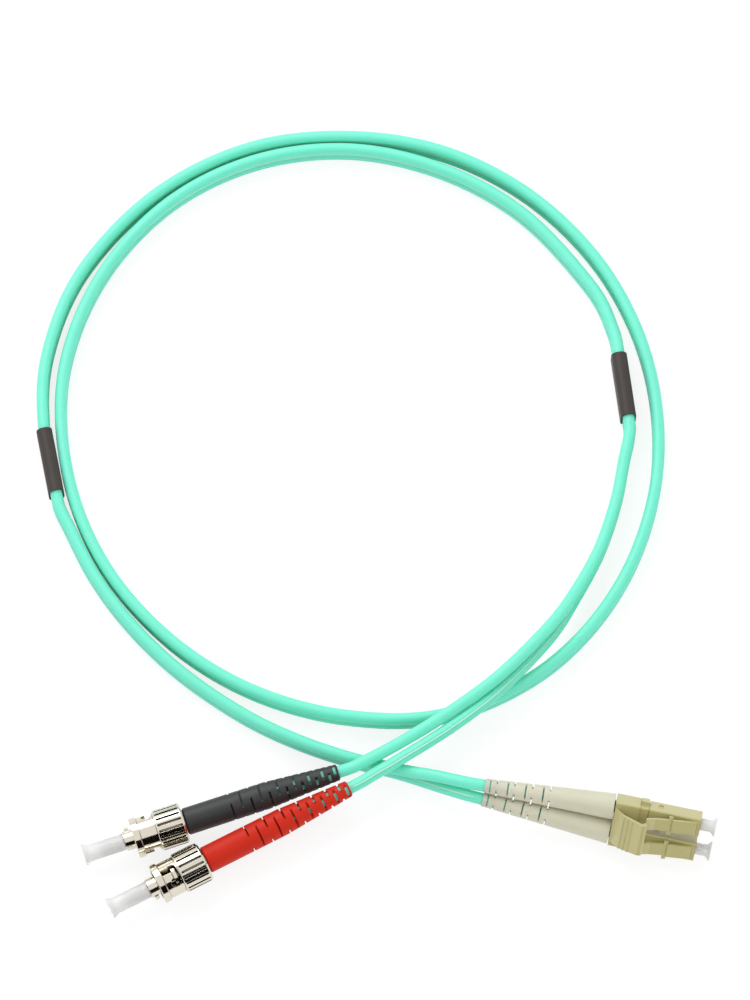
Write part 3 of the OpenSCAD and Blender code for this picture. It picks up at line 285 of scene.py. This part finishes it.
upperStrand, _ = addStrand(
    "strand_black", 1, blackPoints, farPoints, stEnd(plugEnds["black"]), lcEnd(pairEnd, 1),
    ("zip_cord", "st_leg_black", "lc_leg_far"))
lowerStrand, lowerPath = addStrand(
    "strand_red", -1, redPoints, nearPoints, stEnd(plugEnds["red"]), lcEnd(pairEnd, -1),
    ("zip_cord", "st_leg_red", "lc_leg_near"))

# the web that joins the two strands, and the fin it leaves on a parted strand
webSettings = {
    "zipHalfWidth": 1.08, "finHalfWidth": 0.13, "halfThick": 0.12,   # mm
    "finTurn": -22.0,      # degrees from the top of the strand, towards the near side
    "easeLength": 9.0,     # mm over which the web narrows to the fin
    "clearOfStBoot": 30.4, "clearOfLcBoot": 24.4,   # mm from the strand's ends inside the boots
    "sides": 10,
}


def superOutline(halfWidth, halfHeight, sides):
    # a flat ring with round corners: x and y are cosine and sine, each to the power 0.6
    a = (np.arange(sides) + 0.5) * 2 * np.pi / sides
    c, n = np.cos(a), np.sin(a)
    return np.stack([halfWidth * np.sign(c) * np.abs(c) ** 0.6,
                     halfHeight * np.sign(n) * np.abs(n) ** 0.6], axis=1)


def addWeb(name, path, settings):
    # each ring is the flat web and the fin mixed by weight, which goes from 0 to 1 across a sleeve
    s, w = cordSettings, settings
    radius = s["diameter"] / 2
    along = alongPath(path) / mm
    ends = []
    for sleeve in (s["stSleeve"], s["lcSleeve"]):
        middle = sleevePoint(sleeve, 0, 0) + np.array(s["coilCentre"])
        ends.append(along[np.argmin(np.hypot(*(path[:, :2] / mm - middle[:2]).T))])
    inside = np.minimum(along - ends[0], ends[1] - along)
    weight = np.clip(inside / w["easeLength"] + 0.5, 0, 1)[:, None, None]
    turn = math.radians(90 + w["finTurn"])
    web = superOutline(w["zipHalfWidth"], w["halfThick"], w["sides"]) + [0, radius]
    fin = (superOutline(w["finHalfWidth"], w["halfThick"], w["sides"])
           + np.array([-math.cos(turn), math.sin(turn)]) * radius)
    grid = weight * tubeAround(path, web * mm) + (1 - weight) * tubeAround(path, fin * mm)
    clear = (along > w["clearOfStBoot"]) & (along < along[-1] - w["clearOfLcBoot"])
    piece = gridMesh(name, grid[clear])
    ringMap(piece, alongPath(path)[clear], w["sides"])
    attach(piece, "cord_and_plugs")
    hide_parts("zip_cord")
    return piece


web = addWeb("zip_web", lowerPath, webSettings)
print("cords laid")

# springs: wound wire that shortens when the nut or the ferrule moves, sizes in mm
springSettings = {
    "bayonet": {"wire": 0.45, "middleDiameter": 5.2, "turns": 4, "travel": 2.0, "fixedEnd": 1,
                "ringsATurn": 32, "sides": 10},
    "ferrule": {"wire": 0.3, "middleDiameter": 1.9, "turns": 6, "travel": 1.0, "fixedEnd": 0,
                "ringsATurn": 28, "sides": 8},
}


def addSpring(name, nodeName, point, forward, settings):
    # it fills the length that its solid has along the plug's own line
    solid = np.empty(len(nodes[nodeName].data.vertices) * 3)
    nodes[nodeName].data.vertices.foreach_get("co", solid)
    origin = (point + np.array(cordSettings["coilCentre"])) * mm
    reach = (solid.reshape(-1, 3) - origin) @ forward
    ends = np.array([reach.min(), reach.max()])
    half = settings["wire"] / 2 * mm
    # a helix whose first and last half turns lie flat: x and y are cosine and sine of the way round,
    # and the way along stays still for half a turn, then grows with it
    turn = np.linspace(0, settings["turns"], settings["turns"] * settings["ringsATurn"] + 1)
    grown = np.clip((turn - 0.5) / (settings["turns"] - 1), 0, 1)[:, None]
    level = np.cross([0.0, 0.0, 1.0], forward)
    level /= np.linalg.norm(level)
    a = 2 * np.pi * turn[:, None]
    outward = np.cos(a) * level + np.sin(a) * np.cross(forward, level)
    middle = (origin + (ends[0] + half + grown * (ends[1] - ends[0] - 2 * half)) * forward
              + settings["middleDiameter"] / 2 * mm * outward)
    ahead = np.gradient(middle, axis=0)
    ahead /= np.linalg.norm(ahead, axis=1)[:, None]
    upward = np.cross(ahead, outward)
    ring = circleOutline(half, settings["sides"])
    piece = gridMesh(name, middle[:, None] + ring[None, :, :1] * outward[:, None]
                     + ring[None, :, 1:] * upward[:, None])
    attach(piece, "cord_and_plugs")
    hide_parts(nodeName)
    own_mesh(piece)
    return piece


springs = []
for plug, end in plugEnds.items():
    springs.append(addSpring("coupling_spring_" + plug, "st_spring_" + plug, np.array(end["at"]),
                             plugForward(end["heading"], end["droop"]),
                             springSettings["bayonet"]))
for plug, side in (("far", 1), ("near", -1)):
    place = lcPlace(pairEnd, side)
    springs.append(addSpring("ferrule_spring_" + plug, "lc_spring_" + plug, place[0], place[1],
                             springSettings["ferrule"]))
print("springs wound")

# materials


def linear(hexColour, alpha=1.0):
    # sRGB hex to the linear values that shaders take
    c = np.array([int(hexColour[i:i + 2], 16) for i in (1, 3, 5)]) / 255.0
    lin = np.where(c <= 0.04045, c / 12.92, ((c + 0.055) / 1.055) ** 2.4)
    return (*lin.tolist(), alpha)


def addNode(material, kind, settings=None, links=None):
    # one node, its settings by name, and links as {input: (node, output)}
    node = material.node_tree.nodes.new(kind)
    for key, value in (settings or {}).items():
        if key in node.inputs:
            node.inputs[key].default_value = value
        else:
            setattr(node, key, value)
    for key, (source, output) in (links or {}).items():
        material.node_tree.links.new(source.outputs[output], node.inputs[key])
    return node


def startMaterial(name):
    material = bpy.data.materials.new(name)
    material.use_nodes = True
    material.node_tree.nodes.clear()
    return material, addNode(material, "ShaderNodeTexCoord")


def finishMaterial(material, shader):
    addNode(material, "ShaderNodeOutputMaterial", links={"Surface": (shader, 0)})
    return material


def mouldedPlastic(name, colour, roughness, grain=0.35, depth=0.04, variation=None, coat=0.0,
                   subsurface=0.0, bevel=0.06, specular=0.5):
    # grain and depth are in mm: the fine spark texture of a mould, and softly rounded edges
    material, place = startMaterial(name)
    spark = addNode(material, "ShaderNodeTexNoise", {"Scale": 1 / (grain * mm), "Detail": 2.0},
                    {"Vector": (place, "Object")})
    rounded = addNode(material, "ShaderNodeBevel", {"Radius": bevel * mm, "samples": 4})
    bump = addNode(material, "ShaderNodeBump", {"Strength": 0.5, "Distance": depth * mm},
                   {"Height": (spark, "Fac"), "Normal": (rounded, 0)})
    shader = addNode(material, "ShaderNodeBsdfPrincipled",
                     {"Base Color": linear(colour), "Roughness": roughness, "IOR": 1.5,
                      "Coat Weight": coat, "Coat Roughness": 0.2, "Specular IOR Level": specular,
                      "Subsurface Weight": subsurface, "Subsurface Scale": 1.5 * mm,
                      "Subsurface Radius": (1.0, 1.0, 1.0)},
                     {"Normal": (bump, 0)})
    if variation:
        # soft clouds of a second tone, 6 mm across, as the melt flows
        tone = addNode(material, "ShaderNodeTexNoise", {"Scale": 1 / (6 * mm), "Detail": 3.0},
                       {"Vector": (place, "Object")})
        colours = addNode(material, "ShaderNodeMix", {"data_type": "RGBA"}, {"Factor": (tone, "Fac")})
        colours.inputs[6].default_value = linear(colour)
        colours.inputs[7].default_value = linear(variation)
        material.node_tree.links.new(colours.outputs[2], shader.inputs["Base Color"])
    return finishMaterial(material, shader)


def nickelPlate(name, colour, paintedRecessShade, roughness):
    # bright nickel over turned brass: warm white, near mirror, with the faint rings of the lathe,
    # and with painted shade: the colour turns dark in the bottoms of flutes and slots, wherever ambient
    # occlusion finds a recess
    material, place = startMaterial(name)
    # painted shade: where this finds a recess, the colour is mixed towards the dark shade colour
    occlusionForPaintedShade = addNode(material, "ShaderNodeAmbientOcclusion", {"Distance": 0.9 * mm, "samples": 8})
    reach = addNode(material, "ShaderNodeMapRange", {"From Min": 0.45, "From Max": 0.8},
                    {"Value": (occlusionForPaintedShade, "AO")})
    platingWithPaintedShade = addNode(material, "ShaderNodeMix", {"data_type": "RGBA"}, {"Factor": (reach, 0)})
    platingWithPaintedShade.inputs[6].default_value = linear(paintedRecessShade)
    platingWithPaintedShade.inputs[7].default_value = linear(colour)
    rings = addNode(material, "ShaderNodeTexNoise", {"Scale": 1 / (0.25 * mm), "Detail": 2.0},
                    {"Vector": (place, "Object")})
    rounded = addNode(material, "ShaderNodeBevel", {"Radius": 0.12 * mm, "samples": 4})
    bump = addNode(material, "ShaderNodeBump", {"Strength": 0.25, "Distance": 0.008 * mm},
                   {"Height": (rings, "Fac"), "Normal": (rounded, 0)})
    shader = addNode(material, "ShaderNodeBsdfPrincipled",
                     {"Metallic": 1.0, "Roughness": roughness}, {"Normal": (bump, 0)})
    material.node_tree.links.new(platingWithPaintedShade.outputs[2], shader.inputs["Base Color"])
    return finishMaterial(material, shader)


def pvcJacket(name, lit, shade, translucence=0.85):
    # extruded PVC jacket: satin, with faint lengthwise streaks from the die. There are 40 to a turn
    # and 60 to a metre, so on a strand they are about 0.2 mm wide and 17 mm long
    material, place = startMaterial(name)
    stretch = addNode(material, "ShaderNodeMapping", {"Scale": (40.0, 60.0, 1.0)},
                      {"Vector": (place, "UV")})
    streaks = addNode(material, "ShaderNodeTexNoise", {"Scale": 1.0, "Detail": 3.0},
                      {"Vector": (stretch, 0)})
    colours = addNode(material, "ShaderNodeMix", {"data_type": "RGBA"}, {"Factor": (streaks, "Fac")})
    colours.inputs[6].default_value = linear(lit)
    colours.inputs[7].default_value = linear(shade)
    bump = addNode(material, "ShaderNodeBump", {"Strength": 0.3, "Distance": 0.02 * mm},
                   {"Height": (streaks, "Fac")})
    shader = addNode(material, "ShaderNodeBsdfPrincipled",
                     {"Roughness": 0.45, "IOR": 1.5, "Subsurface Weight": translucence,
                      "Subsurface Scale": 2.0 * mm, "Subsurface Radius": (0.6, 1.0, 0.9)},
                     {"Normal": (bump, 0)})
    material.node_tree.links.new(colours.outputs[2], shader.inputs["Base Color"])
    return finishMaterial(material, shader)


def milkyPolyethylene(name, colour):
    # low-density polyethylene, moulded thin: milky, lets some light through, waxy gloss
    material, place = startMaterial(name)
    cloud = addNode(material, "ShaderNodeTexNoise", {"Scale": 1 / (2.0 * mm), "Detail": 2.0},
                    {"Vector": (place, "Object")})
    rounded = addNode(material, "ShaderNodeBevel", {"Radius": 0.15 * mm, "samples": 4})
    bump = addNode(material, "ShaderNodeBump", {"Strength": 0.2, "Distance": 0.05 * mm},
                   {"Height": (cloud, "Fac"), "Normal": (rounded, 0)})
    shader = addNode(material, "ShaderNodeBsdfPrincipled",
                     {"Base Color": linear(colour), "Roughness": 0.38, "IOR": 1.5,
                      "Transmission Weight": 0.3, "Subsurface Weight": 0.8,
                      "Subsurface Scale": 1.5 * mm, "Subsurface Radius": (1.0, 1.0, 1.0)},
                     {"Normal": (bump, 0)})
    return finishMaterial(material, shader)


finishes = {
    "aqua_jacket": pvcJacket("aquaPvcJacket", "#80EBD2", "#72E5C9"),
    # the web's pale tone is partly the thin torn PVC and partly painted highlight along the fin, with
    # its translucence off
    "web": pvcJacket("paleWebWithPaintedHighlight", "#C6F4E0", "#B6EFD8", translucence=0.0),
    "dark_sleeve": mouldedPlastic("heatShrinkSleeve", "#3B3532", 0.5, grain=1.2, depth=0.03,
                                  variation="#443D3A", specular=0.3),
    # the third colour of each is painted shade for its recesses
    "nickel_plate": nickelPlate("brightNickel", "#DED7C8", "#2E2A24", 0.1),
    "inner_steel": nickelPlate("springSteel", "#A8A8A8", "#4A4844", 0.28),
    "ferrule_ceramic": mouldedPlastic("zirconiaCeramic", "#F4F2EC", 0.12, grain=0.2, depth=0.002),
    "black_boot": mouldedPlastic("blackElastomer", "#2B2C2C", 0.5, variation="#323333", specular=0.4),
    "red_boot": mouldedPlastic("redElastomer", "#CF2C14", 0.5, variation="#C72511", specular=0.2),
    "white_boot": mouldedPlastic("ivoryElastomer", "#D7D4BF", 0.5, variation="#D1CEB7",
                                 subsurface=0.5),
    "beige_moulding": mouldedPlastic("beigeThermoplastic", "#C0B87E", 0.35, variation="#B9B175",
                                     coat=0.5, bevel=0.1, specular=0.9),
    "milky_cap": milkyPolyethylene("milkyPolyethylene", "#FDFBF8"),
    "fibre_buffer": mouldedPlastic("whiteBuffer", "#EDEDE6", 0.4),
}
slotOf = {part["node"]: part["material_slot"] for part in frame["record"]["subparts"]}
for nodeName, node in nodes.items():
    node.data.materials.clear()
    node.data.materials.append(finishes[slotOf[nodeName]])
for piece in (upperStrand, lowerStrand):
    piece.data.materials.append(finishes["aqua_jacket"])
web.data.materials.append(finishes["web"])
for piece in springs:
    piece.data.materials.append(finishes["inner_steel"])
print("finishes on", len(nodes), "nodes")

# floor and light
stageSettings = {
    "floorSize": 6.0,        # metres
    "floorDrop": 0.05,       # mm under the part, so that no faces coincide
    "floorPale": 0.9,        # what the floor gives back onto the part
    "floorGlow": 0.8,        # how bright the seen floor is by itself
    "floorGrey": 0.25,       # what it adds in proportion to its light, so that shadows show
    "worldStrength": 0.68,
    # a black card beyond the camera, seen only in reflections, in metres and degrees
    "cardMiddle": (0.0, -0.75, 0.62), "cardSize": (1.6, 1.05), "cardTilt": 90.0,
    "cardColour": "#15110E",
}


def backgroundRays(tree):
    # camera, glossy and transmission rays meet the white background, the rest meet plain light
    path = addNode(tree, "ShaderNodeLightPath")
    first = addNode(tree, "ShaderNodeMath", {"operation": "MAXIMUM"})
    tree.node_tree.links.new(path.outputs["Is Camera Ray"], first.inputs[0])
    tree.node_tree.links.new(path.outputs["Is Glossy Ray"], first.inputs[1])
    every = addNode(tree, "ShaderNodeMath", {"operation": "MAXIMUM"})
    tree.node_tree.links.new(first.outputs[0], every.inputs[0])
    tree.node_tree.links.new(path.outputs["Is Transmission Ray"], every.inputs[1])
    return every


def flatSheet(name, width, depth):
    # one flat face about the origin
    w, h = width / 2, depth / 2
    mesh = bpy.data.meshes.new(name)
    mesh.from_pydata([(-w, -h, 0), (w, -h, 0), (w, h, 0), (-w, h, 0)], [], [(0, 1, 2, 3)])
    sheet = bpy.data.objects.new(name, mesh)
    scene.collection.objects.link(sheet)
    return sheet


def addFloor(settings):
    floor = flatSheet("floor", settings["floorSize"], settings["floorSize"])
    floor.location.z = -settings["floorDrop"] * mm
    material, _ = startMaterial("paleFloor")
    diffuse = addNode(material, "ShaderNodeBsdfDiffuse", {"Color": (*[settings["floorPale"]] * 3, 1)})
    grey = addNode(material, "ShaderNodeBsdfDiffuse", {"Color": (*[settings["floorGrey"]] * 3, 1)})
    glow = addNode(material, "ShaderNodeEmission", {"Strength": settings["floorGlow"]})
    seen = addNode(material, "ShaderNodeAddShader")
    material.node_tree.links.new(grey.outputs[0], seen.inputs[0])
    material.node_tree.links.new(glow.outputs[0], seen.inputs[1])
    mix = addNode(material, "ShaderNodeMixShader", links={"Fac": (backgroundRays(material), 0)})
    material.node_tree.links.new(diffuse.outputs[0], mix.inputs[1])
    material.node_tree.links.new(seen.outputs[0], mix.inputs[2])
    finishMaterial(material, mix)
    floor.data.materials.append(material)


def addCard(settings):
    card = flatSheet("blackCard", *settings["cardSize"])
    card.location = settings["cardMiddle"]
    card.rotation_euler = (math.radians(settings["cardTilt"]), 0, 0)
    for ray in ("camera", "diffuse", "transmission", "volume_scatter", "shadow"):
        setattr(card, "visible_" + ray, False)
    material, _ = startMaterial("blackVelvet")
    velvet = addNode(material, "ShaderNodeBsdfDiffuse", {"Color": linear(settings["cardColour"])})
    card.data.materials.append(finishMaterial(material, velvet))


def addWorld(settings):
    world = bpy.data.worlds.new("studio")
    world.use_nodes = True
    world.node_tree.nodes.clear()
    light = addNode(world, "ShaderNodeBackground",
                    {"Strength": settings["worldStrength"], "Color": (1, 1, 1, 1)})
    seen = addNode(world, "ShaderNodeBackground", {"Strength": 1.0, "Color": (1, 1, 1, 1)})
    mix = addNode(world, "ShaderNodeMixShader", links={"Fac": (backgroundRays(world), 0)})
    world.node_tree.links.new(light.outputs[0], mix.inputs[1])
    world.node_tree.links.new(seen.outputs[0], mix.inputs[2])
    addNode(world, "ShaderNodeOutputWorld", links={"Surface": (mix, 0)})
    scene.world = world


lampAim = (0.0, 0.07, 0.0)   # metres, near the middle of the whole part
lampSettings = [
    {"name": "keyLamp", "at": (-0.4, 0.75, 0.8), "size": 0.7, "power": 6.5, "mirrored": True},
    {"name": "fillLamp", "at": (0.45, -0.6, 0.7), "size": 0.8, "power": 2.2, "mirrored": False},
]


def addLamp(settings):
    data = bpy.data.lights.new(settings["name"], "AREA")
    data.energy = settings["power"]
    data.size = settings["size"]
    lamp = bpy.data.objects.new(settings["name"], data)
    lamp.location = settings["at"]
    lamp.visible_glossy = settings["mirrored"]  # the fill leaves no patch of light in polished metal
    away = np.array(settings["at"]) - np.array(lampAim)
    lamp.rotation_euler = (math.atan2(math.hypot(away[0], away[1]), away[2]), 0,
                           math.atan2(away[0], -away[1]))
    scene.collection.objects.link(lamp)


addFloor(stageSettings)
addCard(stageSettings)
addWorld(stageSettings)
for lampSetting in lampSettings:
    addLamp(lampSetting)
scene.view_settings.view_transform = "Standard"
print("stage is set")
